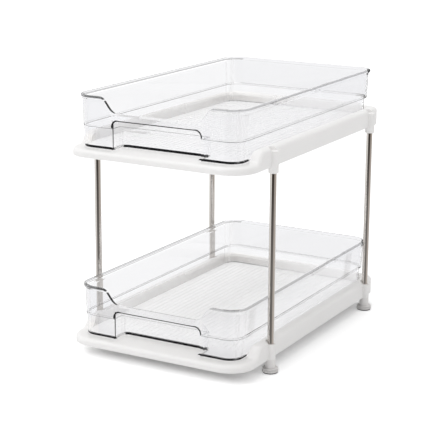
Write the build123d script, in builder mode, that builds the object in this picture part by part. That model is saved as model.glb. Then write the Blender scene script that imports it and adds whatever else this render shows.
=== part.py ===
from build123d import *
from math import cos, atan2
import os

os.makedirs("parts", exist_ok=True)

# Two-level pull-out organizer for the cupboard under a sink.
# Millimetres, Z up, drawers pull toward -Y, origin on the floor below the middle.

# Plan of the whole object
tray_depth = 396.4
tray_front_width = 249.0
side_closing = 0.0105
tier_pitch = 236.9
drawer_base_height = 27.5

# Tray moulding, heights counted from the underside of its drawer
tray_bottom = -10.2
tray_floor_top = -1.2
rail_top = 12.5
floor_thickness = 2.4
skirt_thickness = 2.2
rail_roof = 4.0
front_corner_radius = 33.0
rear_corner_radius = 18.0
outer_edge_round = 4.8
channel_side_gap = 1.2
channel_rear_gap = 1.0
lead_in = 2.4
ramp_high_setback = 54.0
ramp_low_setback = 34.0
rail_cavity_setback = 64.0
glide_width = 5.0
glide_spacing = 170.0
glide_gap = 0.2
under_rib_thickness = 1.6
under_rib_height = 4.5
under_rib_rows = 5
under_rib_columns = 3

# Posts and their seats
post_diameter = 8.0
post_wall = 0.8
post_inset = 0.3
front_post_setback = 74.8
rear_post_setback = 36.4
boss_diameter = 12.4
boss_top = 8.3
socket_diameter = 10.6
slip_fit = 0.1
sleeve_drop = 7.8
sleeve_spigot_height = 12.0
sleeve_edge_bevel = 0.6
post_socket_depth = 14.2
foot_spigot_height = 5.5
post_foot_depth = 9.8
collar_seat_depth = 4.0
collar_lip = 0.7
collar_lip_diameter = 11.8

# Foot and its soft pad
foot_diameter = 20.0
foot_flange_height = 5.0
foot_groove_width = 0.9
foot_groove_depth = 0.7
foot_edge_bevel = 0.7
pad_diameter = 18.4
pad_thickness = 2.4
pad_exposed = 1.5

# Clear drawer, heights counted from its underside
rim_width = 230.0
rim_depth = 384.4
rim_front_setback = 11.8
drawer_height = 63.2
rim_band_height = 4.0
rim_overhang = 2.2
front_rim_overhang = 1.2
rim_corner_radius = 23.5
rim_edge_round = 0.8
step_height = 25.5
step_width = 1.3
front_step_width = 0.5
rear_step_width = 6.0
wall_thickness = 2.0
drawer_floor_thickness = 2.2
upper_wall_draft = 1.6
lower_wall_draft = 0.9
front_upper_draft = 0.7
front_lower_draft = 0.5
drawer_foot_round = 1.1

# Low front and finger pocket of the drawer
cutout_bottom = 44.5
cutout_half_top = 80.0
cutout_half_bottom = 53.0
pocket_half_width = 60.5
pocket_height = 35.0
pocket_depth = 23.6
pocket_bend_height = 21.5
pocket_top_radius = 7.5
pocket_plan_radius = 7.0

# Fine ribs along the drawer's floor
floor_rib_pitch = 7.2
floor_rib_count = 27
floor_rib_width = 1.4
floor_rib_height = 0.4
floor_rib_end_gap = 12.0

tray_front = -tray_depth / 2
tray_rear = tray_depth / 2
rim_front = tray_front + rim_front_setback
rim_rear = rim_front + rim_depth
lower_level = drawer_base_height
upper_level = drawer_base_height + tier_pitch


def moved_in(insets, side, front, rear):
    """Insets at the sides, the front and the rear, each taken further in."""
    return (insets[0] + side, insets[1] + front, insets[2] + rear)


# How far each height of the drawer's wall stands inside the rim
upper_wall_top = (rim_overhang, front_rim_overhang, rim_overhang)
upper_wall_foot = moved_in(upper_wall_top, upper_wall_draft, front_upper_draft, upper_wall_draft)
lower_wall_top = moved_in(upper_wall_foot, step_width, front_step_width, rear_step_width)
lower_wall_foot = moved_in(lower_wall_top, lower_wall_draft, front_lower_draft, lower_wall_draft)

# Front post and rear post positions, just inside the tray's outer face
front_post_y = tray_front + front_post_setback
rear_post_y = tray_rear - rear_post_setback
front_post_x = tray_front_width / 2 - side_closing * front_post_setback - post_inset
rear_post_run = tray_depth - rear_post_setback
rear_post_x = tray_front_width / 2 - side_closing * rear_post_run - post_inset
post_places = {
    "front_left": (-front_post_x, front_post_y),
    "front_right": (front_post_x, front_post_y),
    "rear_left": (-rear_post_x, rear_post_y),
    "rear_right": (rear_post_x, rear_post_y),
}


def closing_plan(front_width, front_y, rear_y, front_radius, rear_radius):
    """Rounded outline whose two sides close in evenly toward the rear."""
    front_half = front_width / 2 - side_closing * (front_y - tray_front)
    rear_half = front_width / 2 - side_closing * (rear_y - tray_front)
    with BuildSketch() as outline:
        Polygon(
            (-front_half, front_y),
            (front_half, front_y),
            (rear_half, rear_y),
            (-rear_half, rear_y),
            align=None,
        )
        fillet(outline.vertices().group_by(Axis.Y)[0], radius=front_radius)
        fillet(outline.vertices().group_by(Axis.Y)[-1], radius=rear_radius)
    return outline.sketch


def tray_plan(inset):
    """Outline of the tray, a given distance inside its outer face."""
    return closing_plan(
        tray_front_width - 2 * inset,
        tray_front + inset,
        tray_rear - inset,
        front_corner_radius - inset,
        rear_corner_radius - inset,
    )


def channel_plan(growth):
    """Outline of the channel the drawer runs in, open at the tray's front."""
    side_growth = channel_side_gap + growth
    rear_growth = channel_rear_gap + growth
    return closing_plan(
        rim_width - 2 * lower_wall_top[0] + 2 * side_growth,
        tray_front - front_corner_radius,
        rim_rear - lower_wall_top[2] + rear_growth,
        front_corner_radius / 2,
        rim_corner_radius - lower_wall_top[0] + rear_growth,
    )


def drawer_plan(insets, thickness=0.0):
    """Outline of the drawer's wall at one height, or of the room inside the wall."""
    side, front, rear = moved_in(insets, thickness, thickness, thickness)
    radius = rim_corner_radius - side
    return closing_plan(
        rim_width - 2 * side,
        rim_front + front,
        rim_rear - rear,
        radius,
        radius,
    )


def make_tray(level, posts_pass_through):
    """Floor, low front lip, rails on three sides, four bosses for the posts."""
    with BuildPart() as tray:
        with BuildSketch(Plane.XY.offset(level + tray_bottom)):
            add(tray_plan(0))
        extrude(amount=rail_top - tray_bottom)
        # Smooth ramp that brings both rails down to the front lip
        with BuildSketch(Plane.YZ):
            high_y = tray_front + ramp_high_setback
            low_y = tray_front + ramp_low_setback
            middle_y = (high_y + low_y) / 2
            high_z = level + rail_top
            low_z = level + tray_floor_top
            with BuildLine():
                Bezier((high_y, high_z), (middle_y, high_z), (middle_y, low_z), (low_y, low_z))
                Polyline(
                    (low_y, low_z),
                    (tray_front - front_corner_radius, low_z),
                    (tray_front - front_corner_radius, high_z + lead_in),
                    (high_y, high_z + lead_in),
                    (high_y, high_z),
                )
            make_face()
        extrude(amount=tray_front_width, both=True, mode=Mode.SUBTRACT)
        top_edges = tray.edges().filter_by(lambda edge: edge.center().Z > low_z - 0.01)
        fillet(top_edges, radius=outer_edge_round)
        # Channel for the drawer, with a lead-in along the top of the rails
        with BuildSketch(Plane.XY.offset(low_z)):
            add(channel_plan(0))
        extrude(amount=rail_top - tray_floor_top, mode=Mode.SUBTRACT)
        with BuildSketch(Plane.XY.offset(high_z - lead_in)):
            add(channel_plan(0))
        with BuildSketch(Plane.XY.offset(high_z)):
            add(channel_plan(lead_in))
        loft(mode=Mode.SUBTRACT)
        # Hollow underside: below the floor, then up inside the rails
        with BuildSketch(Plane.XY.offset(level + tray_bottom)):
            add(tray_plan(skirt_thickness))
        extrude(amount=tray_floor_top - floor_thickness - tray_bottom, mode=Mode.SUBTRACT)
        with BuildSketch(Plane.XY.offset(level + tray_bottom)):
            add(tray_plan(skirt_thickness))
            add(channel_plan(skirt_thickness), mode=Mode.SUBTRACT)
            with Locations((0, tray_front)):
                Rectangle(tray_front_width, 2 * rail_cavity_setback, mode=Mode.SUBTRACT)
            with Locations(*post_places.values()):
                Circle(boss_diameter / 2 + skirt_thickness, mode=Mode.SUBTRACT)
        extrude(amount=rail_top - rail_roof - tray_bottom, mode=Mode.SUBTRACT)
        # Stiffening ribs across the underside
        with BuildSketch(Plane.XY.offset(low_z - floor_thickness - under_rib_height)):
            with GridLocations(glide_spacing / 2, 1, under_rib_columns, 1):
                Rectangle(under_rib_thickness, tray_depth - 2 * skirt_thickness)
            with GridLocations(1, tray_depth / (under_rib_rows + 1), 1, under_rib_rows):
                Rectangle(2 * rear_post_x, under_rib_thickness)
        extrude(amount=under_rib_height)
        # Two glides that carry the drawer
        with BuildSketch(Plane.XY.offset(low_z)):
            with Locations((0, (rim_front + rim_rear) / 2)):
                with GridLocations(glide_spacing, 1, 2, 1):
                    Rectangle(glide_width, rim_depth - 2 * rim_corner_radius)
        extrude(amount=-tray_floor_top - glide_gap)
        # Bosses for the posts, standing out of the rails' outer faces
        with BuildSketch(Plane.XY.offset(level + tray_bottom)):
            with Locations(*post_places.values()):
                Circle(boss_diameter / 2)
        extrude(amount=boss_top - tray_bottom)
        with BuildSketch(Plane.XY.offset(level + boss_top)):
            with Locations(*post_places.values()):
                Circle(boss_diameter / 2)
        extrude(amount=rail_top - boss_top, mode=Mode.SUBTRACT)
        spigot_room = foot_spigot_height if posts_pass_through else post_socket_depth
        with BuildSketch(Plane.XY.offset(level + tray_bottom)):
            with Locations(*post_places.values()):
                Circle(socket_diameter / 2)
        extrude(amount=spigot_room, mode=Mode.SUBTRACT)
        if posts_pass_through:
            with BuildSketch(Plane.XY.offset(level + tray_bottom)):
                with Locations(*post_places.values()):
                    Circle(post_diameter / 2 + slip_fit)
            extrude(amount=boss_top - tray_bottom, mode=Mode.SUBTRACT)
            with BuildSketch(Plane.XY.offset(level + boss_top - collar_seat_depth)):
                with Locations(*post_places.values()):
                    Circle(socket_diameter / 2)
            extrude(amount=collar_seat_depth, mode=Mode.SUBTRACT)
    return tray.part


def make_pocket_room(level, growth):
    """Room for the fingers below the low front, grown by the wall around it."""
    front_y = rim_front + lower_wall_foot[1]
    rear_y = rim_front + lower_wall_top[1] + pocket_depth
    slope = atan2(cutout_bottom - pocket_bend_height, rear_y - front_y)
    roof_drop = (wall_thickness - growth) / cos(slope)
    with BuildPart() as room:
        with BuildSketch(Plane.XY.offset(level)) as outline:
            with Locations((0, rear_y + growth)):
                Rectangle(
                    2 * (pocket_half_width + growth),
                    rear_y + growth - front_y,
                    align=(Align.CENTER, Align.MAX),
                )
            rear_corners = outline.vertices().group_by(Axis.Y)[-1]
            fillet(rear_corners, radius=pocket_plan_radius + growth)
        extrude(amount=cutout_bottom)
        with BuildSketch(Plane.YZ):
            Polygon(
                (front_y, level),
                (front_y, level + cutout_bottom - roof_drop),
                (rear_y, level + pocket_bend_height - roof_drop),
                (rear_y + growth, level + pocket_bend_height - roof_drop),
                (rear_y + growth, level),
                align=None,
            )
        extrude(amount=rim_width, both=True, mode=Mode.INTERSECT)
    return room.part


def make_drawer(level):
    """Clear bin with stepped, drafted walls, a low front and a finger pocket."""
    step_z = level + step_height
    rim_z = level + drawer_height
    with BuildPart() as drawer:
        with BuildSketch(Plane.XY.offset(level)):
            add(drawer_plan(lower_wall_foot))
        with BuildSketch(Plane.XY.offset(step_z)):
            add(drawer_plan(lower_wall_top))
        loft()
        fillet(drawer.faces().sort_by(Axis.Z)[0].edges(), radius=drawer_foot_round)
        with BuildSketch(Plane.XY.offset(step_z)):
            add(drawer_plan(upper_wall_foot))
        with BuildSketch(Plane.XY.offset(rim_z)):
            add(drawer_plan(upper_wall_top))
        loft()
        with BuildSketch(Plane.XY.offset(rim_z - rim_band_height)):
            add(drawer_plan((0, 0, 0)))
        extrude(amount=rim_band_height)
        fillet(drawer.faces().sort_by(Axis.Z)[-1].edges(), radius=rim_edge_round)
        # Inside of the lower wall, then of the upper wall, open at the top
        with BuildSketch(Plane.XY.offset(level + drawer_floor_thickness)):
            add(drawer_plan(lower_wall_foot, wall_thickness))
        with BuildSketch(Plane.XY.offset(step_z + wall_thickness)):
            add(drawer_plan(lower_wall_top, wall_thickness))
        loft(mode=Mode.SUBTRACT)
        with BuildSketch(Plane.XY.offset(step_z + wall_thickness)):
            add(drawer_plan(upper_wall_foot, wall_thickness))
        with BuildSketch(Plane.XY.offset(rim_z)):
            add(drawer_plan(upper_wall_top, wall_thickness))
        loft(mode=Mode.SUBTRACT)
        # Low middle of the front wall, with an S-shaped run at both ends
        with BuildSketch(Plane.XZ.offset(-rim_front)):
            low_z = level + cutout_bottom
            bend_x = (cutout_half_top + cutout_half_bottom) / 2
            with BuildLine():
                Bezier(
                    (-cutout_half_top, rim_z),
                    (-bend_x, rim_z),
                    (-bend_x, low_z),
                    (-cutout_half_bottom, low_z),
                )
                Line((-cutout_half_bottom, low_z), (cutout_half_bottom, low_z))
                Bezier(
                    (cutout_half_bottom, low_z),
                    (bend_x, low_z),
                    (bend_x, rim_z),
                    (cutout_half_top, rim_z),
                )
                Polyline(
                    (cutout_half_top, rim_z),
                    (cutout_half_top, rim_z + rim_band_height),
                    (-cutout_half_top, rim_z + rim_band_height),
                    (-cutout_half_top, rim_z),
                )
            make_face()
        extrude(amount=rim_corner_radius, both=True, mode=Mode.SUBTRACT)
        # Finger pocket: its walls, the room inside them, and its mouth
        add(make_pocket_room(level, wall_thickness))
        add(make_pocket_room(level, 0), mode=Mode.SUBTRACT)
        with BuildSketch(Plane.XZ.offset(-rim_front)) as mouth:
            with Locations((0, level)):
                Rectangle(
                    2 * pocket_half_width,
                    pocket_height,
                    align=(Align.CENTER, Align.MIN),
                )
            fillet(mouth.vertices().group_by(Axis.Z)[-1], radius=pocket_top_radius)
        extrude(amount=-lower_wall_foot[1] - wall_thickness, mode=Mode.SUBTRACT)
        # Fine ribs along the floor, behind the pocket
        rib_front = rim_front + lower_wall_top[1] + pocket_depth + floor_rib_end_gap
        rib_rear = rim_rear - lower_wall_foot[2] - floor_rib_end_gap
        with BuildSketch(Plane.XY.offset(level + drawer_floor_thickness)):
            with Locations((0, (rib_front + rib_rear) / 2)):
                with GridLocations(floor_rib_pitch, 1, floor_rib_count, 1):
                    Rectangle(floor_rib_width, rib_rear - rib_front)
        extrude(amount=floor_rib_height)
    return drawer.part


def make_post():
    """Thin metal tube from the foot up into the upper tray's boss."""
    bottom = lower_level + tray_bottom - post_foot_depth
    top = upper_level + tray_bottom + post_socket_depth
    with BuildPart() as post:
        with BuildSketch(Plane.XY.offset(bottom)):
            Circle(post_diameter / 2)
            Circle(post_diameter / 2 - post_wall, mode=Mode.SUBTRACT)
        extrude(amount=top - bottom)
    return post.part


def make_sleeve():
    """Collar below the upper tray, with a spigot that goes up into the boss."""
    seat = upper_level + tray_bottom
    with BuildPart() as sleeve:
        with BuildSketch(Plane.XY.offset(seat - sleeve_drop)):
            Circle(boss_diameter / 2)
        extrude(amount=sleeve_drop)
        chamfer(sleeve.edges().group_by(Axis.Z)[0], length=sleeve_edge_bevel)
        with BuildSketch(Plane.XY.offset(seat)):
            Circle(socket_diameter / 2 - slip_fit)
        extrude(amount=sleeve_spigot_height)
        with BuildSketch(Plane.XY.offset(seat - sleeve_drop)):
            Circle(post_diameter / 2 + slip_fit)
        extrude(amount=sleeve_drop + sleeve_spigot_height, mode=Mode.SUBTRACT)
    return sleeve.part


def make_collar():
    """Small ring round the post, pressed into the top of a lower boss."""
    seat = lower_level + boss_top
    with BuildPart() as collar:
        with BuildSketch(Plane.XY.offset(seat - collar_seat_depth)):
            Circle(socket_diameter / 2 - slip_fit)
        extrude(amount=collar_seat_depth)
        with BuildSketch(Plane.XY.offset(seat)):
            Circle(collar_lip_diameter / 2)
        extrude(amount=collar_lip)
        chamfer(collar.edges().group_by(Axis.Z)[-1], length=collar_lip / 2)
        with BuildSketch(Plane.XY.offset(seat - collar_seat_depth)):
            Circle(post_diameter / 2 + slip_fit)
        extrude(amount=collar_seat_depth + collar_lip, mode=Mode.SUBTRACT)
    return collar.part


def make_foot():
    """Foot with a neck, a grooved flange, a blind post seat and a pad recess."""
    seat = lower_level + tray_bottom
    flange_top = pad_exposed + foot_flange_height
    with BuildPart() as foot:
        with BuildSketch(Plane.XY.offset(pad_exposed)):
            Circle(foot_diameter / 2)
        extrude(amount=foot_flange_height)
        chamfer(foot.edges().group_by(Axis.Z)[-1], length=foot_edge_bevel)
        with BuildSketch(Plane.XY.offset(pad_exposed + foot_flange_height / 2)):
            Circle(foot_diameter / 2)
            Circle(foot_diameter / 2 - foot_groove_depth, mode=Mode.SUBTRACT)
        extrude(amount=foot_groove_width, mode=Mode.SUBTRACT)
        with BuildSketch(Plane.XY.offset(flange_top)):
            Circle(boss_diameter / 2)
        extrude(amount=seat - flange_top)
        with BuildSketch(Plane.XY.offset(seat)):
            Circle(socket_diameter / 2 - slip_fit)
        extrude(amount=foot_spigot_height)
        with BuildSketch(Plane.XY.offset(seat - post_foot_depth)):
            Circle(post_diameter / 2 + slip_fit)
        extrude(amount=post_foot_depth + foot_spigot_height, mode=Mode.SUBTRACT)
        with BuildSketch(Plane.XY.offset(pad_exposed)):
            Circle(pad_diameter / 2 + slip_fit)
        extrude(amount=pad_thickness - pad_exposed, mode=Mode.SUBTRACT)
    return foot.part


def make_pad():
    """Soft disc that the foot stands on."""
    with BuildPart() as pad:
        with BuildSketch():
            Circle(pad_diameter / 2)
        extrude(amount=pad_thickness)
    return pad.part


def save(solid, name):
    """Name one finished piece and write it to its own file."""
    solid.label = name
    export_step(solid, "parts/" + name + ".step")


save(make_tray(lower_level, True), "lower_tray")
save(make_tray(upper_level, False), "upper_tray")
save(make_drawer(lower_level), "lower_drawer")
save(make_drawer(upper_level), "upper_drawer")

for corner, place in post_places.items():
    shift = Pos(place[0], place[1], 0)
    save(shift * make_post(), "post_" + corner)
    save(shift * make_sleeve(), "sleeve_" + corner)
    save(shift * make_collar(), "collar_" + corner)
    save(shift * make_foot(), "foot_" + corner)
    save(shift * make_pad(), "pad_" + corner)
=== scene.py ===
import bpy
from math import cos, sin, radians
from mathutils import Matrix, Vector


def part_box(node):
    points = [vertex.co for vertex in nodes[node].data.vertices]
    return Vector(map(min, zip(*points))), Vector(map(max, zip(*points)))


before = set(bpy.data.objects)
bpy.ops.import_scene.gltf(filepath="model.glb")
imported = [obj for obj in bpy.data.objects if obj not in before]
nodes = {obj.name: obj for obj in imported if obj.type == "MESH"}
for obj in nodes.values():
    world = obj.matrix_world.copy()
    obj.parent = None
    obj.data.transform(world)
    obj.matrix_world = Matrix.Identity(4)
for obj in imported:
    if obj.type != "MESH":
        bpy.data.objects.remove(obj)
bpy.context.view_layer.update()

WHITE = (1.0, 1.0, 1.0)


# Node helpers

EDGE_FADE = 0.0002  # metres over which the edge of a mask fades


class Tree:
    """Adds and joins shader nodes in one tree."""

    def __init__(self, tree):
        self.tree = tree

    def add(self, kind, **settings):
        node = self.tree.nodes.new(kind)
        for name, value in settings.items():
            setattr(node, name, value)
        return node

    def join(self, source, target):
        self.tree.links.new(source, target)

    def feed(self, socket, value):
        """Gives a socket a number, a colour or a link."""
        if isinstance(value, (int, float)):
            socket.default_value = value
        elif isinstance(value, tuple):
            socket.default_value = (*value, 1.0)
        else:
            self.join(value, socket)

    def place(self):
        """Position in the piece's own coordinates."""
        return self.add("ShaderNodeTexCoord").outputs["Object"]

    def split(self, vector):
        """X, Y and Z of a vector."""
        node = self.add("ShaderNodeSeparateXYZ")
        self.join(vector, node.inputs[0])
        return node.outputs["X"], node.outputs["Y"], node.outputs["Z"]

    def math(self, operation, *values, clamp=False):
        node = self.add("ShaderNodeMath", operation=operation, use_clamp=clamp)
        for socket, value in zip(node.inputs, values):
            self.feed(socket, value)
        return node.outputs[0]

    def chain(self, operation, values):
        joint = values[0]
        for value in values[1:]:
            joint = self.math(operation, joint, value)
        return joint

    def plus(self, *values):
        return self.chain("ADD", values)

    def minus(self, first, second):
        return self.math("SUBTRACT", first, second)

    def size(self, value):
        return self.math("ABSOLUTE", value)

    def past(self, value, start):
        """How far value lies over start, and 0 below it."""
        return self.math("MAXIMUM", self.minus(value, start), 0.0)

    def span(self, first, second):
        """Length of the line whose two parts these are."""
        squares = self.plus(self.math("POWER", first, 2.0), self.math("POWER", second, 2.0))
        return self.math("SQRT", squares)

    def all_of(self, *masks):
        """1 where every mask is 1. A number among them is a weight."""
        return self.chain("MULTIPLY", masks)

    def any_of(self, *masks):
        """1 where one mask or more is 1."""
        return self.chain("MAXIMUM", masks)

    def none_of(self, mask):
        """1 where the mask is 0."""
        return self.math("SUBTRACT", 1.0, mask)

    def ramp(self, value, low, high, smooth=True):
        """0 below low, 1 above high."""
        node = self.add("ShaderNodeMapRange")
        node.interpolation_type = "SMOOTHSTEP" if smooth else "LINEAR"
        self.feed(node.inputs["Value"], value)
        self.feed(node.inputs["From Min"], low)
        self.feed(node.inputs["From Max"], high)
        return node.outputs["Result"]

    def above(self, value, edge, fade=EDGE_FADE):
        """1 where value is over edge, with a soft border inside it."""
        return self.ramp(value, edge, edge + fade)

    def below(self, value, edge, fade=EDGE_FADE):
        """1 where value is under edge, with a soft border inside it."""
        return self.none_of(self.ramp(value, edge - fade, edge))

    def between(self, value, low, high):
        return self.all_of(self.above(value, low), self.below(value, high))

    def mix(self, factor, first, second):
        """A colour between two."""
        node = self.add("ShaderNodeMix", data_type="RGBA")
        for index, value in zip((0, 6, 7), (factor, first, second)):
            self.feed(node.inputs[index], value)
        return node.outputs[2]

    def blend(self, factor, first, second):
        """A shader between two."""
        node = self.add("ShaderNodeMixShader")
        for socket, source in zip(node.inputs, (factor, first.outputs[0], second.outputs[0])):
            self.join(source, socket)
        return node

    def noise(self, vector, scale, detail=3.0):
        node = self.add("ShaderNodeTexNoise")
        node.inputs["Scale"].default_value = scale
        node.inputs["Detail"].default_value = detail
        self.join(vector, node.inputs["Vector"])
        return node.outputs["Fac"]

    def bump(self, height, strength, distance):
        node = self.add("ShaderNodeBump")
        node.inputs["Strength"].default_value = strength
        node.inputs["Distance"].default_value = distance
        self.join(height, node.inputs["Height"])
        return node.outputs["Normal"]


COLOUR = "NodeSocketColor"
NUMBER = "NodeSocketFloat"


def new_group(name, given, made):
    """A node group with its inputs and outputs, each a label and a kind."""
    group = bpy.data.node_groups.new(name, "ShaderNodeTree")
    for way, sockets in (("INPUT", given), ("OUTPUT", made)):
        for label, kind in sockets:
            group.interface.new_socket(label, in_out=way, socket_type=kind)
    kit = Tree(group)
    return group, kit, kit.add("NodeGroupInput").outputs, kit.add("NodeGroupOutput").inputs


def new_material(name):
    material = bpy.data.materials.new(name)
    material.use_nodes = True
    tree = material.node_tree
    return material, Tree(tree), tree.nodes["Principled BSDF"], tree.nodes["Material Output"]


def dress(material, *names):
    """Gives CAD nodes their finish."""
    for name in names:
        for slot in nodes[name].material_slots:
            slot.material = material


# Moulded plastic: broad mottling, a fine grain and a roughness that varies a little.
# Scales are noise cells per metre, depths are metres of relief.

BROAD_SCALE = 14.0
MIDDLE_SCALE = 130.0
GRAIN_SCALE = 900.0
MOTTLE_LOW, MOTTLE_HIGH = 0.3, 0.75
ROUGHNESS_SPREAD = 0.12
MIDDLE_HEIGHT = 0.5
GRAIN_DEPTH = 0.00015
NOISE_MIDDLE = 0.5
UPPER_SHADE = 0.95


def moulded_surface_group():
    """Colour, roughness and height of a moulded surface."""
    group, kit, given, made = new_group(
        "moulded_surface",
        (("Colour", COLOUR), ("Shade", COLOUR), ("Mottle", NUMBER), ("Roughness", NUMBER)),
        (("Colour", COLOUR), ("Roughness", NUMBER), ("Height", NUMBER)))
    place = kit.place()
    broad = kit.noise(place, BROAD_SCALE, detail=2.0)
    middle = kit.noise(place, MIDDLE_SCALE)
    grain = kit.noise(place, GRAIN_SCALE)
    mottle = kit.all_of(kit.ramp(broad, MOTTLE_LOW, MOTTLE_HIGH), given["Mottle"])
    kit.join(kit.mix(mottle, given["Colour"], given["Shade"]), made["Colour"])
    spread = kit.all_of(kit.minus(middle, NOISE_MIDDLE), ROUGHNESS_SPREAD)
    kit.join(kit.math("ADD", given["Roughness"], spread, clamp=True), made["Roughness"])
    kit.join(kit.plus(grain, kit.all_of(middle, MIDDLE_HEIGHT)), made["Height"])
    return group


moulded_surface = moulded_surface_group()


def moulded_plastic(name, colour, shade, mottle, roughness, grain,
                    ior=1.46, upper_colour=None, upper_from=0.0):
    """Shade is the mottling's darker tone. Over upper_from the piece may take another colour; on
    the foot this is painted light, a paler neck over a flange painted darker as shade.
    """
    material, kit, shader, _ = new_material(name)
    surface = kit.add("ShaderNodeGroup", node_tree=moulded_surface)
    if upper_colour:
        upper_shade = tuple(UPPER_SHADE * part for part in upper_colour)
        _, _, level = kit.split(kit.place())
        upper = kit.above(level, upper_from)
        colour = kit.mix(upper, colour, upper_colour)
        shade = kit.mix(upper, shade, upper_shade)
    kit.feed(surface.inputs["Colour"], colour)
    kit.feed(surface.inputs["Shade"], shade)
    kit.feed(surface.inputs["Mottle"], mottle)
    kit.feed(surface.inputs["Roughness"], roughness)
    kit.join(surface.outputs["Colour"], shader.inputs["Base Color"])
    kit.join(surface.outputs["Roughness"], shader.inputs["Roughness"])
    kit.join(kit.bump(surface.outputs["Height"], grain, GRAIN_DEPTH), shader.inputs["Normal"])
    shader.inputs["IOR"].default_value = ior
    return material


white_plastic = moulded_plastic(
    "white_moulding", colour=(0.93, 0.922, 0.912), shade=(0.905, 0.895, 0.882),
    mottle=0.5, roughness=0.42, grain=0.25)
# Painted shade: the foot is painted greyer than the trays, darker on its flange near the floor and
# paler on its neck above
shaded_foot_plastic = moulded_plastic(
    "foot_moulding_painted_shade", colour=(0.77, 0.755, 0.745), shade=(0.72, 0.702, 0.69),
    mottle=0.5, roughness=0.42, grain=0.25,
    upper_colour=(0.87, 0.855, 0.845), upper_from=0.0066)
collar_plastic = moulded_plastic(
    "collar_moulding", colour=(0.86, 0.83, 0.82), shade=(0.80, 0.77, 0.76),
    mottle=0.5, roughness=0.38, grain=0.2)
pad_rubber = moulded_plastic(
    "soft_pad", colour=(0.055, 0.055, 0.055), shade=(0.09, 0.088, 0.085),
    mottle=0.7, roughness=0.75, grain=0.6, ior=1.5)


# Clear plastic: see-through walls with painted dark lines on the cut edges, the foot, the mouth,
# the step and the rim, standing in for the dark edges that refraction gives, and painted light in
# the paler tints, the frost's glow and the streaks.
# The masks' sizes are in metres. Heights count from the drawer's underside, depths from the
# front of its rim, and distances aside from its middle.

FRONT_WALL_DEPTH = 0.0050
REAR_WALL_DEPTH = 0.3600
RIM_HEIGHT = 0.0632
LIP_HEIGHT = 0.0445
SIDE_CLOSING = 0.0105  # how much each side closes per metre of depth


class Spot:
    """Where a point of the drawer lies and which way its surface faces."""

    def __init__(self, kit, underside, rim_front):
        self.x, y, z = kit.split(kit.place())
        normal = kit.add("ShaderNodeNewGeometry").outputs["True Normal"]
        self.facing_x, facing_y, facing_z = kit.split(normal)
        self.aside = kit.size(self.x)
        self.behind = kit.minus(y, rim_front)
        self.height = kit.minus(z, underside)
        # The plan closes a little toward the rear, so side masks measure from the closing line
        self.outward = kit.plus(self.aside, kit.all_of(self.behind, SIDE_CLOSING))
        self.faces_side = kit.size(self.facing_x)
        self.faces_along = kit.size(facing_y)
        self.faces_up = kit.size(facing_z)
        self.front_wall = kit.below(self.behind, FRONT_WALL_DEPTH)


FOOT_HEIGHT = 0.0029
FOOT_FADE = 0.0003
POCKET_DEPTH = 0.0300
POCKET_SIDE_FROM, POCKET_SIDE_TO = 0.0030, 0.0240
POCKET_SIDE_ASIDE = 0.0640
POCKET_SIDE_LOSS = 0.75
FAR_CORNER_X = -0.0800
FAR_CORNER_DEPTH = 0.0100
REAR_FOOT_HEIGHT = 0.0026
REAR_FOOT_WEIGHT = 0.45


def foot_mask(kit, spot):
    """Painted dark line for the refraction and the shade at the drawer's foot: lowest band of the
    front wall and the pocket's rear wall, and faint on the rear wall.
    """
    not_level = kit.below(spot.faces_up, 0.95, fade=0.04)
    foot = kit.all_of(
        kit.below(spot.height, FOOT_HEIGHT, FOOT_FADE), kit.below(spot.behind, POCKET_DEPTH),
        not_level)
    pocket_side = kit.all_of(
        kit.above(spot.faces_side, 0.7, fade=0.1),
        kit.between(spot.behind, POCKET_SIDE_FROM, POCKET_SIDE_TO),
        kit.below(spot.aside, POCKET_SIDE_ASIDE))
    far_corner = kit.all_of(
        kit.below(spot.x, FAR_CORNER_X), kit.above(spot.behind, FAR_CORNER_DEPTH, fade=0.0020))
    foot = kit.all_of(
        foot, kit.none_of(kit.all_of(pocket_side, POCKET_SIDE_LOSS)), kit.none_of(far_corner))
    rear_foot = kit.all_of(
        kit.below(spot.height, REAR_FOOT_HEIGHT, FOOT_FADE),
        kit.above(spot.behind, REAR_WALL_DEPTH, fade=0.0060), not_level)
    return kit.any_of(foot, kit.all_of(rear_foot, REAR_FOOT_WEIGHT))


RUN_MIDDLE = 0.0665
RUN_REACH = 0.0135
RUN_BAND = 0.0020
RUN_BAND_START = -0.0003
SLOPING_FROM = 0.0440
UPRIGHT_HEIGHT = 0.0345
UPRIGHT_DEPTH = 0.0048
UPRIGHT_ASIDE = 0.0615


def run_line(kit, height):
    """How far aside an S-shaped run lies at a height: smoothstep down, cubic across."""
    fall = kit.math("DIVIDE", kit.minus(RIM_HEIGHT, height), RIM_HEIGHT - LIP_HEIGHT)
    swing = kit.math("ARCSINE", kit.minus(1.0, kit.all_of(fall, 2.0)))
    along = kit.minus(0.5, kit.math("SINE", kit.math("DIVIDE", swing, 3.0)))
    back = kit.minus(1.0, along)
    shift = kit.minus(kit.math("POWER", back, 3.0), kit.math("POWER", along, 3.0))
    return kit.plus(kit.all_of(shift, RUN_REACH), RUN_MIDDLE)


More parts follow.
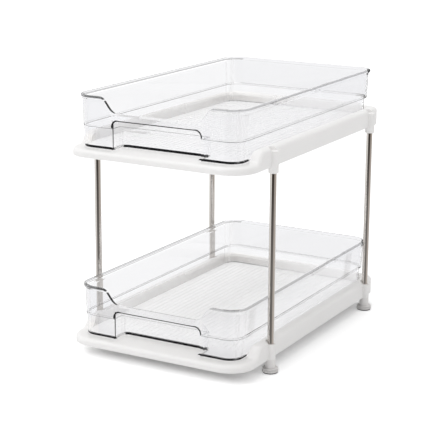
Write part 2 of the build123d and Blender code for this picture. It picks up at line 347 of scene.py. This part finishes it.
def cut_mask(kit, spot):
    """Painted dark lines for the refraction at the front wall's cut edges, and a band on its face
    along the left run.
    """
    across_wall = kit.all_of(spot.front_wall, kit.below(spot.faces_along, 0.5, fade=0.1))
    sloping = kit.all_of(
        kit.above(spot.height, SLOPING_FROM), kit.above(spot.faces_side, 0.2, fade=0.2))
    upright = kit.all_of(
        kit.below(spot.height, UPRIGHT_HEIGHT), kit.above(spot.faces_side, 0.5, fade=0.1),
        kit.below(spot.behind, UPRIGHT_DEPTH), kit.below(spot.aside, UPRIGHT_ASIDE))
    cut = kit.all_of(across_wall, kit.any_of(sloping, upright))
    past_run = kit.minus(spot.aside, run_line(kit, spot.height))
    band = kit.all_of(
        spot.front_wall, kit.above(spot.faces_along, 0.8, fade=0.1),
        kit.between(spot.height, LIP_HEIGHT, RIM_HEIGHT),
        kit.above(past_run, RUN_BAND_START), kit.below(past_run, RUN_BAND, fade=0.0005),
        kit.below(spot.x, 0.0))
    return kit.any_of(cut, band)


MOUTH_HALF_WIDTH = 0.0605
MOUTH_HEIGHT = 0.035
MOUTH_CORNER = 0.0075
RING_START, RING_END = -0.0004, 0.0012
RING_CORNER_FROM, RING_CORNER_TO = 0.0490, 0.0570
RING_CORNER_EXTRA = 0.0007
RING_TAIL = 0.002


def mouth_mask(kit, spot):
    """Painted dark ring for the refraction along the top of the mouth, heavier round its two upper
    corners.
    """
    corner_x = kit.past(spot.aside, MOUTH_HALF_WIDTH - MOUTH_CORNER)
    corner_z = kit.past(spot.height, MOUTH_HEIGHT - MOUTH_CORNER)
    outside = kit.minus(kit.span(corner_x, corner_z), MOUTH_CORNER)
    near_corner = kit.ramp(spot.aside, RING_CORNER_FROM, RING_CORNER_TO)
    extra = kit.all_of(near_corner, RING_CORNER_EXTRA)
    return kit.all_of(
        spot.front_wall, kit.above(outside, RING_START),
        kit.below(kit.minus(outside, extra), RING_END),
        kit.above(spot.height, MOUTH_HEIGHT - MOUTH_CORNER - RING_TAIL, fade=RING_TAIL))


STEP_LOW, STEP_HIGH = 0.0252, 0.0259
STEP_WEIGHT = 0.42
STEP_MORE_AT_RIGHT = 0.20
STEP_LESS_AT_REAR = 0.27
STEP_RIGHT_X = 0.0800
STEP_REAR_DEPTH = 0.3650
STEP_REAR_FADE = 0.0040


def step_mask(kit, spot):
    """Painted fine dark line for the refraction where the wall steps in, stronger on the right and
    weaker at the rear.
    """
    right_side = kit.all_of(
        kit.above(spot.x, STEP_RIGHT_X), kit.below(spot.behind, STEP_REAR_DEPTH, STEP_REAR_FADE))
    rear_part = kit.above(spot.behind, STEP_REAR_DEPTH, STEP_REAR_FADE)
    weight = kit.plus(STEP_WEIGHT, kit.all_of(right_side, STEP_MORE_AT_RIGHT))
    weight = kit.minus(weight, kit.all_of(rear_part, STEP_LESS_AT_REAR))
    return kit.all_of(kit.between(spot.height, STEP_LOW, STEP_HIGH), weight)


RIM_CORNER_ASIDE = 0.0913
RIM_CORNER_DEPTH = 0.0235
RIM_LINE_REACH = 0.0206
RIM_LINE_HEIGHT = 0.0612
RIM_LINE_RISE_AT_LEFT = 0.0012
RIM_LINE_END = 0.3790
RIM_LINE_WEIGHT = 0.38
LEFT_SIDE_X = -0.0900
LEFT_SIDE_DEPTH = 0.0200
FRONT_LEFT_HEIGHT = 0.0604
FRONT_LEFT_DEPTH = 0.0090
FRONT_LEFT_X = -0.0725
FRONT_LEFT_WEIGHT = 0.58
SECOND_LOW, SECOND_HIGH = 0.0600, 0.0609
SECOND_WEIGHT = 0.50
RIM_FADE = 0.0004
LEDGE_LOW, LEDGE_HIGH = 0.0584, 0.0600
LEDGE_REACH = 0.0190


def rim_masks(kit, spot):
    """Painted fine dark lines for the refraction along the lower edge of the rim, and the ledge
    under it.
    """
    rim_reach = kit.span(
        kit.past(spot.outward, RIM_CORNER_ASIDE), kit.past(RIM_CORNER_DEPTH, spot.behind))
    left_side = kit.all_of(kit.below(spot.x, LEFT_SIDE_X), kit.above(spot.behind, LEFT_SIDE_DEPTH))
    line_height = kit.minus(spot.height, kit.all_of(left_side, RIM_LINE_RISE_AT_LEFT))
    outline = kit.all_of(
        kit.above(line_height, RIM_LINE_HEIGHT, RIM_FADE), kit.above(rim_reach, RIM_LINE_REACH),
        kit.below(spot.behind, RIM_LINE_END))
    front_left = kit.all_of(
        kit.above(spot.height, FRONT_LEFT_HEIGHT, RIM_FADE),
        kit.below(spot.behind, FRONT_LEFT_DEPTH, fade=0.0010),
        kit.below(spot.x, FRONT_LEFT_X, fade=0.0020))
    second = kit.all_of(kit.between(spot.height, SECOND_LOW, SECOND_HIGH), left_side)
    rim = kit.any_of(
        kit.all_of(outline, RIM_LINE_WEIGHT), kit.all_of(front_left, FRONT_LEFT_WEIGHT),
        kit.all_of(second, SECOND_WEIGHT))
    ledge = kit.all_of(
        kit.between(spot.height, LEDGE_LOW, LEDGE_HIGH), kit.above(rim_reach, LEDGE_REACH))
    return rim, ledge


FLOOR_HEIGHT = 0.0045
POCKET_HEIGHT = 0.0465
POCKET_ASIDE = 0.0665
RIM_SIDE_HEIGHT = 0.0560
RIM_SIDE_OUTWARD = 0.1085
LEAVING_LIFT = 0.0011


def calm_masks(kit, spot, leaving):
    """Floor and pocket, and these with the rim's sides, which all bend the light least."""
    floor_slab = kit.below(spot.height, FLOOR_HEIGHT, fade=0.0008)
    pocket = kit.all_of(
        kit.below(spot.height, POCKET_HEIGHT, fade=0.0015),
        kit.below(spot.behind, POCKET_DEPTH, fade=0.0020),
        kit.below(spot.aside, POCKET_ASIDE, fade=0.0030))
    floor_or_pocket = kit.any_of(floor_slab, pocket)
    # Light that comes in through the calm band of the rim also leaves through it
    leaving_height = kit.plus(spot.height, kit.all_of(leaving, LEAVING_LIFT))
    rim_side = kit.all_of(
        kit.above(leaving_height, RIM_SIDE_HEIGHT, fade=0.0010),
        kit.above(spot.outward, RIM_SIDE_OUTWARD))
    return floor_or_pocket, kit.any_of(floor_or_pocket, rim_side)


LOW_WALL_HEIGHT = 0.0170
FAR_SIDE_X = -0.0850
VEIL_CORNER_X = -0.0900
VEIL_ACROSS = 0.1100
VEIL_NEAR_END, VEIL_NEAR_WEIGHT = 0.1600, 0.65
VEIL_FAR_START, VEIL_FAR_END, VEIL_FAR_WEIGHT = 0.1900, 0.3000, 0.55
VEIL_START = 0.0240
VEIL_START_FADE = 0.0300


def low_wall_masks(kit, spot):
    """Low part of the far walls, and the veil of painted light that it lays over the rails behind.
    """
    far_side = kit.any_of(
        kit.below(spot.x, FAR_SIDE_X), kit.above(spot.behind, REAR_WALL_DEPTH, fade=0.0020))
    low_wall = kit.all_of(kit.below(spot.height, LOW_WALL_HEIGHT, fade=0.0020), far_side)
    # The painted light is thinnest in the rear left corner, where the shade falls
    off_x = kit.past(spot.x, VEIL_CORNER_X)
    off_y = kit.past(REAR_WALL_DEPTH, spot.behind)
    toward_front = kit.plus(
        kit.all_of(kit.ramp(off_y, 0.0, VEIL_NEAR_END), VEIL_NEAR_WEIGHT),
        kit.all_of(kit.ramp(off_y, VEIL_FAR_START, VEIL_FAR_END), VEIL_FAR_WEIGHT))
    thickness = kit.any_of(kit.ramp(off_x, 0.0, VEIL_ACROSS), toward_front)
    veil = kit.all_of(
        low_wall, thickness, kit.below(spot.faces_up, 0.7, fade=0.1),
        kit.above(spot.behind, VEIL_START, VEIL_START_FADE))
    return low_wall, veil


REAR_RIGHT_X = 0.0860
REAR_RIGHT_DEPTH = 0.3580
REAR_RIGHT_LOW, REAR_RIGHT_HIGH = 0.0040, 0.0590


def rear_right_mask(kit, spot):
    """The rear right corner between floor and rim."""
    return kit.all_of(
        kit.above(spot.x, REAR_RIGHT_X), kit.above(spot.behind, REAR_RIGHT_DEPTH),
        kit.above(spot.height, REAR_RIGHT_LOW, fade=0.0010),
        kit.below(spot.height, REAR_RIGHT_HIGH, fade=0.0010))


def streak_mask(kit, spot):
    """Painted reflections: soft upright white streaks on the corners' faces that are turned to the
    right.
    """
    upright_face = kit.below(spot.faces_up, 0.2, fade=0.1)
    broad = kit.all_of(
        kit.above(spot.faces_along, 0.40, fade=0.18), kit.below(spot.faces_along, 0.78, fade=0.18))
    narrow = kit.all_of(
        kit.above(spot.faces_along, 0.03, fade=0.04), kit.below(spot.faces_along, 0.20, fade=0.06))
    turned = kit.above(spot.facing_x, 0.30, fade=0.1)
    return kit.all_of(upright_face, kit.any_of(broad, narrow), turned)


RIBS_LOW, RIBS_HIGH = 0.0015, 0.0032
INNER_ASIDE = 0.0990
INNER_FRONT, INNER_REAR = 0.0290, 0.3650


def ribbed_mask(kit, spot):
    """Tops and sides of the floor's fine ribs."""
    inner_floor = kit.all_of(
        kit.below(spot.outward, INNER_ASIDE, fade=0.0010),
        kit.between(spot.behind, INNER_FRONT, INNER_REAR))
    rib_face = kit.any_of(kit.above(spot.faces_up, 0.3, fade=0.2), inner_floor)
    return kit.all_of(
        kit.below(spot.height, RIBS_HIGH, fade=0.0003), kit.above(spot.height, RIBS_LOW), rib_face)


REAR_TINT_DEPTH = 0.3740
DRAWER_INPUTS = ("Underside", "Rim front", "Leaving")
DRAWER_MASKS = (
    "Foot", "Cut", "Mouth", "Step", "Rim", "Calm", "Pale", "Ribbed", "Rear", "Low wall",
    "Rear right", "Ledge", "Veil", "Streak")


def drawer_edges_group():
    """All masks of the drawer, from its own geometry."""
    group, kit, given, made = new_group(
        "drawer_edges", [(label, NUMBER) for label in DRAWER_INPUTS],
        [(label, NUMBER) for label in DRAWER_MASKS])
    spot = Spot(kit, given["Underside"], given["Rim front"])
    rim, ledge = rim_masks(kit, spot)
    pale, calm = calm_masks(kit, spot, given["Leaving"])
    low_wall, veil = low_wall_masks(kit, spot)
    masks = {
        "Foot": foot_mask(kit, spot),
        "Cut": cut_mask(kit, spot),
        "Mouth": mouth_mask(kit, spot),
        "Step": step_mask(kit, spot),
        "Rim": rim,
        "Calm": calm,
        "Pale": pale,
        "Ribbed": ribbed_mask(kit, spot),
        "Rear": kit.above(spot.behind, REAR_TINT_DEPTH, fade=0.0030),
        "Low wall": low_wall,
        "Rear right": rear_right_mask(kit, spot),
        "Ledge": ledge,
        "Veil": veil,
        "Streak": streak_mask(kit, spot),
    }
    for label, mask in masks.items():
        kit.join(mask, made[label])
    return group


drawer_edges = drawer_edges_group()

CUT_WEIGHT = 0.95
MOUTH_WEIGHT = 0.97
RIB_SCATTER = 0.75
STREAK_PAINTED_REFLECTION = 0.16
VEIL_PAINTED_LIGHT = 0.50
PAINTED_DARK_LINE = (0.0004, 0.0004, 0.0005)
WALL_TINT, HAZY_TINT = (0.95, 0.951, 0.962), (0.93, 0.931, 0.942)
REAR_TINT = (0.885, 0.886, 0.90)
LOW_WALL_TINT = (0.985, 0.978, 0.972)
PALE_TINT = (0.985, 0.985, 0.99)
HAZE_SCALE = 60.0
WALL_IOR, CALM_IOR = 1.36, 1.05
CLEAR_ROUGHNESS = 0.02
RIPPLE_SCALE = 45.0
RIPPLE_STRENGTH = 0.04
RIPPLE_DEPTH = 0.0005
PASSED_TINT = (0.993, 0.993, 0.994)
FOOT_SHADOW = (0.25, 0.25, 0.25)
TURNED_TINT = (0.36, 0.35, 0.34)
TURNING_FROM, TURNING_TO = 0.70, 0.84
FROST_COLOUR = (0.95, 0.95, 0.955)
FROST_ROUGHNESS = 0.6
GLOW_RIGHT_FROM, GLOW_RIGHT_TO = -0.0100, 0.1000
GLOW_RIGHT_START, GLOW_RIGHT_END = 0.03, 0.10
GLOW_LEFT_START, GLOW_LEFT_END = 0.005, 0.05


def clear_tint(kit, edges, outer_side, place):
    """Colour of the light that passes: a pale haze, darker on the rear wall, paler as painted
    light on the low far walls, the floor and the pocket, and dark where the painted lines are.
    """
    cut_or_ring = kit.any_of(
        kit.all_of(edges["Cut"], CUT_WEIGHT), kit.all_of(edges["Mouth"], MOUTH_WEIGHT))
    dark = kit.any_of(
        kit.all_of(cut_or_ring, outer_side), edges["Foot"], edges["Step"], edges["Rim"])
    tint = kit.mix(kit.noise(place, HAZE_SCALE), WALL_TINT, HAZY_TINT)
    # The rear wall is tinted darker; the low far walls, the floor and the pocket are painted
    # light, tinted paler to lift what is seen through them
    tint = kit.mix(edges["Rear"], tint, REAR_TINT)
    tint = kit.mix(edges["Low wall"], tint, LOW_WALL_TINT)
    tint = kit.mix(edges["Pale"], tint, PALE_TINT)
    # Light crosses two faces of a wall, so a mask's weight counts twice
    light_left = kit.math("POWER", kit.none_of(dark), 2.0)
    return kit.mix(light_left, PAINTED_DARK_LINE, tint)


def frost_glow(kit, place, front, painted_glow, painted_glow_right):
    """Painted light: how much the frost glows, though it is no lamp, in the lower drawer more
    toward the right to lift the shade there.
    """
    if not painted_glow_right:
        return painted_glow
    x, y, _ = kit.split(place)
    rightward = kit.all_of(
        kit.ramp(x, GLOW_RIGHT_FROM, GLOW_RIGHT_TO, smooth=False), painted_glow_right,
        kit.ramp(y, front + GLOW_RIGHT_START, front + GLOW_RIGHT_END))
    leftward = kit.all_of(
        kit.ramp(y, front + GLOW_LEFT_START, front + GLOW_LEFT_END), painted_glow)
    return kit.plus(rightward, leftward)


def clear_plastic_material(name, drawer_node, painted_glow, painted_glow_right=0.0):
    low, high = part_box(drawer_node)
    front, underside = low[1], low[2]
    material, kit, shader, output = new_material(name)
    place = kit.place()
    leaving = kit.add("ShaderNodeNewGeometry").outputs["Backfacing"]
    edge_node = kit.add("ShaderNodeGroup", node_tree=drawer_edges)
    kit.feed(edge_node.inputs["Underside"], underside)
    kit.feed(edge_node.inputs["Rim front"], front)
    kit.join(leaving, edge_node.inputs["Leaving"])
    edges = edge_node.outputs
    kit.join(clear_tint(kit, edges, kit.none_of(leaving), place), shader.inputs["Base Color"])
    bend = kit.add("ShaderNodeMapRange")
    kit.join(edges["Calm"], bend.inputs["Value"])
    kit.feed(bend.inputs["To Min"], WALL_IOR)
    kit.feed(bend.inputs["To Max"], CALM_IOR)
    kit.join(bend.outputs["Result"], shader.inputs["IOR"])
    ripple = kit.noise(place, RIPPLE_SCALE, detail=1.0)
    kit.join(kit.bump(ripple, RIPPLE_STRENGTH, RIPPLE_DEPTH), shader.inputs["Normal"])
    shader.inputs["Roughness"].default_value = CLEAR_ROUGHNESS
    shader.inputs["Transmission Weight"].default_value = 1.0
    # Light passes on to what stands in and under the drawer, less so through the painted dark
    # foot, which so casts shade on the tray under it
    passing = kit.add("ShaderNodeBsdfTransparent")
    passed = kit.mix(edges["Foot"], PASSED_TINT, FOOT_SHADOW)
    # Painted dark edge: the rear right corner is tinted dark where it turns edge-on, for the
    # refraction there
    facing = kit.add("ShaderNodeLayerWeight").outputs["Facing"]
    turning = kit.all_of(kit.ramp(facing, TURNING_FROM, TURNING_TO), edges["Rear right"])
    kit.join(kit.mix(turning, passed, TURNED_TINT), passing.inputs["Color"])
    # The floor's ribs turn partly to a white frost, and the painted reflection streaks and the
    # painted light veil use the same frost, whose glow is painted light
    frost = kit.add("ShaderNodeBsdfPrincipled")
    kit.feed(frost.inputs["Base Color"], FROST_COLOUR)
    kit.feed(frost.inputs["Roughness"], FROST_ROUGHNESS)
    kit.feed(frost.inputs["Emission Color"], WHITE)
    glow = frost_glow(kit, place, front, painted_glow, painted_glow_right)
    kit.feed(frost.inputs["Emission Strength"], glow)
    whiter = kit.any_of(
        kit.all_of(edges["Ribbed"], RIB_SCATTER), kit.all_of(edges["Streak"], STREAK_PAINTED_REFLECTION),
        kit.all_of(edges["Veil"], VEIL_PAINTED_LIGHT))
    frosted = kit.blend(whiter, shader, frost)
    ray = kit.add("ShaderNodeLightPath").outputs
    straight = kit.any_of(
        ray["Is Shadow Ray"], ray["Is Diffuse Ray"], edges["Ledge"], turning)
    kit.join(kit.blend(straight, frosted, passing).outputs[0], output.inputs["Surface"])
    return material


# Drawn steel tube: fine lengthwise lines and soft clouds of tone

LINE_STRETCH = (1.0, 1.0, 0.01)
LINE_SCALE = 2200.0
LINES_LOW, LINES_HIGH = 0.3, 0.7
CLOUD_SCALE = 35.0
CLOUD_WEIGHT = 0.35
STEEL_LIGHT, STEEL_DARK = (0.66, 0.63, 0.60), (0.58, 0.55, 0.52)
STEEL_CLOUD = (0.50, 0.47, 0.44)
STEEL_ROUGHNESS = 0.05
LINE_ROUGHNESS = 0.06
LINE_STRENGTH = 0.12
LINE_DEPTH = 0.0001
STEEL_PAINTED_GLOW = (0.60, 0.575, 0.55)
VEIL_BEHIND_PLASTIC = 0.55
VEIL_LOW_DOWN = 0.19
VEIL_LOW_Z, VEIL_HIGH_Z = 0.13, 0.26


def steel_material():
    material, kit, shader, output = new_material("drawn_steel")
    place = kit.place()
    stretch = kit.add("ShaderNodeMapping")
    stretch.inputs["Scale"].default_value = LINE_STRETCH
    kit.join(place, stretch.inputs["Vector"])
    lines = kit.noise(stretch.outputs[0], LINE_SCALE)
    cloud = kit.noise(place, CLOUD_SCALE, detail=2.0)
    tone = kit.mix(kit.ramp(lines, LINES_LOW, LINES_HIGH), STEEL_LIGHT, STEEL_DARK)
    tone = kit.mix(kit.all_of(cloud, CLOUD_WEIGHT), tone, STEEL_CLOUD)
    kit.join(tone, shader.inputs["Base Color"])
    rough = kit.plus(kit.all_of(lines, LINE_ROUGHNESS), STEEL_ROUGHNESS)
    kit.join(rough, shader.inputs["Roughness"])
    kit.join(kit.bump(lines, LINE_STRENGTH, LINE_DEPTH), shader.inputs["Normal"])
    shader.inputs["Metallic"].default_value = 1.0
    # Painted light: a glow makes the tubes paler behind clear walls and toward the lower tray
    veil = kit.add("ShaderNodeEmission")
    kit.feed(veil.inputs["Color"], STEEL_PAINTED_GLOW)
    ray = kit.add("ShaderNodeLightPath").outputs
    _, _, level = kit.split(place)
    lower_part = kit.none_of(kit.ramp(level, VEIL_LOW_Z, VEIL_HIGH_Z, smooth=False))
    paler = kit.any_of(
        kit.all_of(ray["Is Transmission Ray"], VEIL_BEHIND_PLASTIC),
        kit.all_of(lower_part, VEIL_LOW_DOWN))
    kit.join(kit.blend(paler, shader, veil).outputs[0], output.inputs["Surface"])
    return material


steel = steel_material()
dress(white_plastic, "lower_tray", "upper_tray")
for corner in ("front_left", "front_right", "rear_left", "rear_right"):
    dress(steel, "post_" + corner)
    dress(white_plastic, "sleeve_" + corner)
    dress(shaded_foot_plastic, "foot_" + corner)
    dress(collar_plastic, "collar_" + corner)
    dress(pad_rubber, "pad_" + corner)
clear_lower = clear_plastic_material(
    "clear_lower", "lower_drawer", painted_glow=0.13, painted_glow_right=0.24)
clear_upper = clear_plastic_material("clear_upper", "upper_drawer", painted_glow=0.03)
dress(clear_lower, "lower_drawer")
dress(clear_upper, "upper_drawer")


# Floor that stays white to the camera and keeps the shadow

HALF_WIDTH = 0.1245
HALF_DEPTH = 0.1982
FLOOR_SIZE = 24.0
FLOOR_COLOUR = (0.88, 0.88, 0.88)
LIFT_UNDER = 0.12
LIFT_AROUND = 0.27
LIFT_AHEAD = 0.28
AROUND_START, AROUND_END = -0.036, 0.0
AHEAD_START, AHEAD_FULL = -0.038, -0.010
AHEAD_LIMIT, AHEAD_FADE = 0.060, 0.040


def pale_floor():
    bpy.ops.mesh.primitive_plane_add(size=FLOOR_SIZE, location=(0.0, 0.0, 0.0))
    floor = bpy.context.object
    floor.name = "floor"
    material, kit, shader, output = new_material("pale_floor")
    ray = kit.add("ShaderNodeLightPath").outputs
    kit.feed(shader.inputs["Base Color"], FLOOR_COLOUR)
    shader.inputs["Roughness"].default_value = 1.0
    shader.inputs["Specular IOR Level"].default_value = 0.0
    # Seen directly or through the drawers a glow lifts it to white, less under the tray and more
    # near its front edge, so the lift paints where the shadow fades
    seen = kit.any_of(ray["Is Camera Ray"], ray["Is Transmission Ray"])
    x, y, _ = kit.split(kit.place())
    past_side = kit.minus(kit.size(x), HALF_WIDTH)
    past_end = kit.minus(kit.size(y), HALF_DEPTH)
    past_front = kit.minus(kit.all_of(y, -1.0), HALF_DEPTH)
    around = kit.ramp(kit.any_of(past_side, past_end), AROUND_START, AROUND_END)
    ahead = kit.all_of(
        kit.ramp(past_front, AHEAD_START, AHEAD_FULL),
        kit.below(past_front, AHEAD_LIMIT, AHEAD_FADE))
    lift = kit.plus(
        LIFT_UNDER, kit.all_of(around, LIFT_AROUND), kit.all_of(ahead, LIFT_AHEAD))
    kit.feed(shader.inputs["Emission Color"], WHITE)
    kit.join(kit.all_of(seen, lift), shader.inputs["Emission Strength"])
    # Polished metal looks past it to the surroundings
    open_air = kit.add("ShaderNodeBsdfTransparent")
    surface = kit.blend(ray["Is Glossy Ray"], shader, open_air)
    kit.join(surface.outputs[0], output.inputs["Surface"])
    floor.data.materials.append(material)


pale_floor()


# White surroundings: full white where they are seen, a plain level where they light

PLAIN_LEVEL = (0.70, 0.70, 0.704)
DARK_SIDE = radians(20.0)
DARK_EDGE, DARK_FULL = radians(52.0), radians(34.0)
DARK_STRETCH = (0.04, 0.028, 0.02)
GREY_EDGE, GREY_FULL = radians(62.0), radians(30.0)
GREY_STRETCH = (0.58, 0.53, 0.49)


def studio_world():
    world = bpy.data.worlds.new("studio")
    world.use_nodes = True
    bpy.context.scene.world = world
    kit = Tree(world.node_tree)
    back = world.node_tree.nodes["Background"]
    ray = kit.add("ShaderNodeLightPath").outputs
    way = kit.add("ShaderNodeVectorMath", operation="MULTIPLY")
    kit.join(kit.add("ShaderNodeTexCoord").outputs["Generated"], way.inputs[0])
    way.inputs[1].default_value = (1.0, 1.0, 0.0)
    level = kit.add("ShaderNodeVectorMath", operation="NORMALIZE")
    kit.join(way.outputs[0], level.inputs[0])

    def near(direction, edge, full):
        """1 within the angle full of a level direction, 0 past the angle edge."""
        toward = kit.add("ShaderNodeVectorMath", operation="DOT_PRODUCT")
        kit.join(level.outputs[0], toward.inputs[0])
        toward.inputs[1].default_value = direction
        return kit.ramp(toward.outputs["Value"], cos(edge), cos(full))

    # The metal mirrors a dark stretch in front and a grey one at the right, white elsewhere
    dark = near((sin(DARK_SIDE), -cos(DARK_SIDE), 0.0), DARK_EDGE, DARK_FULL)
    grey = near((1.0, 0.0, 0.0), GREY_EDGE, GREY_FULL)
    mirrored = kit.mix(grey, WHITE, GREY_STRETCH)
    mirrored = kit.mix(dark, mirrored, DARK_STRETCH)
    lit = kit.mix(ray["Is Glossy Ray"], PLAIN_LEVEL, mirrored)
    seen = kit.any_of(ray["Is Camera Ray"], ray["Is Transmission Ray"])
    kit.join(kit.mix(seen, lit, WHITE), back.inputs["Color"])
    back.inputs["Strength"].default_value = 1.0


studio_world()


def soft_sun(name, aim, spread, strength):
    """Broad even light from one side of the sky."""
    data = bpy.data.lights.new(name, "SUN")
    data.angle = radians(spread)
    data.energy = strength
    lamp = bpy.data.objects.new(name, data)
    bpy.context.collection.objects.link(lamp)
    lamp.rotation_euler = Vector(aim).to_track_quat("-Z", "Y").to_euler()


soft_sun("overhead", aim=(0.25, 0.15, -1.0), spread=60.0, strength=0.9)
soft_sun("front_left", aim=(0.5, 0.85, -0.35), spread=70.0, strength=0.28)


# Camera at the photograph's viewing angle: angles in radians, place in metres

CAMERA_YAW, CAMERA_PITCH, CAMERA_ROLL = 0.509744, 0.252425, 0.007466
CAMERA_PLACE = (0.880624, -1.604865, 0.618004)
CAMERA_LENS = 119.376
CAMERA_SENSOR = 36.0
CAMERA_FAR_END = 60.0


def photograph_camera():
    yaw, pitch, roll = CAMERA_YAW, CAMERA_PITCH, CAMERA_ROLL
    forward = Vector((-sin(yaw) * cos(pitch), cos(yaw) * cos(pitch), -sin(pitch)))
    side = Vector((cos(yaw), sin(yaw), 0.0))
    rise = side.cross(forward)
    side_rolled = cos(roll) * side + sin(roll) * rise
    rise_rolled = cos(roll) * rise - sin(roll) * side
    data = bpy.data.cameras.new("photo_camera")
    data.sensor_width = CAMERA_SENSOR
    data.lens = CAMERA_LENS
    data.clip_end = CAMERA_FAR_END
    camera = bpy.data.objects.new("photo_camera", data)
    bpy.context.collection.objects.link(camera)
    turn = Matrix((side_rolled, rise_rolled, -forward)).transposed()
    camera.matrix_world = Matrix.Translation(CAMERA_PLACE) @ turn.to_4x4()
    bpy.context.scene.camera = camera


photograph_camera()
bpy.context.scene.view_settings.view_transform = "Standard"
